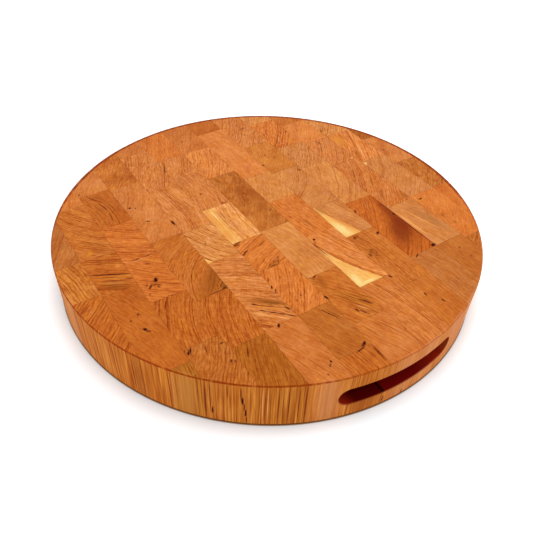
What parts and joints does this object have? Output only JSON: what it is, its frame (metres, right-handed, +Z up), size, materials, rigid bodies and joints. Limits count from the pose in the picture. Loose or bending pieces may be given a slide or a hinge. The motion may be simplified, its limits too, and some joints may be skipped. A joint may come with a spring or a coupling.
{
  "type": "end-grain chopping block",
  "caption": "Round end-grain chopping block glued up from rows of upright hardwood blocks, with eased edges and a finger grip cut into the rim on opposite sides.",
  "frame": {"origin": "centre of the flat underside, on the surface that the block stands on", "axes": "+Z up through the thickness, +Y along the rows of blocks, with a finger grip at the -Y side and another at the +Y side, +X across the rows"},
  "size_m": [0.4064, 0.4064, 0.0508],
  "materials": {
    "cherry_tan": "sanded end grain, oiled, satin",
    "cherry_orange": "sanded end grain, oiled, satin",
    "cherry_red": "sanded end grain, oiled, satin",
    "cherry_brown": "sanded end grain, oiled, satin",
    "cherry_dark": "sanded end grain, oiled, satin"
  },
  "bodies": {
    "root": {"left_row_1_end_blocks": "cherry_brown", "left_row_1_block_2": "cherry_tan", "left_row_2_end_blocks": "cherry_orange", "left_row_2_block_2": "cherry_brown", "left_row_2_block_3": "cherry_red", "left_row_2_block_4": "cherry_orange", "left_row_3_end_blocks": "cherry_orange", "left_row_3_block_2": "cherry_red", "left_row_3_block_3": "cherry_orange", "left_row_3_block_4": "cherry_orange", "left_row_3_block_5": "cherry_red", "left_row_4_end_blocks": "cherry_brown", "left_row_4_block_2": "cherry_orange", "left_row_4_block_3": "cherry_brown", "left_row_4_block_4": "cherry_red", "left_row_5_end_blocks": "cherry_orange", "left_row_5_block_2": "cherry_orange", "left_row_5_block_3": "cherry_orange", "left_row_5_block_4": "cherry_tan", "left_row_5_block_5": "cherry_orange", "left_row_6_end_blocks": "cherry_orange", "left_row_6_block_2": "cherry_orange", "left_row_6_block_3": "cherry_orange", "left_row_6_block_4": "cherry_tan", "left_row_6_block_5": "cherry_red", "left_row_6_block_6": "cherry_orange", "left_row_6_block_7": "cherry_brown", "middle_row_end_blocks": "cherry_orange", "middle_row_block_2": "cherry_orange", "middle_row_block_3": "cherry_brown", "middle_row_block_4": "cherry_tan", "middle_row_block_5": "cherry_orange", "right_row_6_end_blocks": "cherry_orange", "right_row_6_block_2": "cherry_orange", "right_row_6_block_3": "cherry_tan", "right_row_6_block_4": "cherry_red", "right_row_6_block_5": "cherry_orange", "right_row_5_end_blocks": "cherry_orange", "right_row_5_block_2": "cherry_brown", "right_row_5_block_3": "cherry_orange", "right_row_5_block_4": "cherry_tan", "right_row_5_block_5": "cherry_brown", "right_row_4_end_blocks": "cherry_tan", "right_row_4_block_2": "cherry_red", "right_row_4_block_3": "cherry_orange", "right_row_4_block_4": "cherry_tan", "right_row_4_block_5": "cherry_dark", "right_row_3_end_blocks": "cherry_brown", "right_row_3_block_2": "cherry_orange", "right_row_3_block_3": "cherry_orange", "right_row_3_block_4": "cherry_red", "right_row_3_block_5": "cherry_tan", "right_row_2_end_blocks": "cherry_tan", "right_row_2_block_2": "cherry_orange", "right_row_2_block_3": "cherry_tan", "right_row_2_block_4": "cherry_orange", "right_row_1_end_blocks": "cherry_brown", "right_row_1_block_2": "cherry_orange", "right_row_1_block_3": "cherry_brown"}
  },
  "joints": []
}
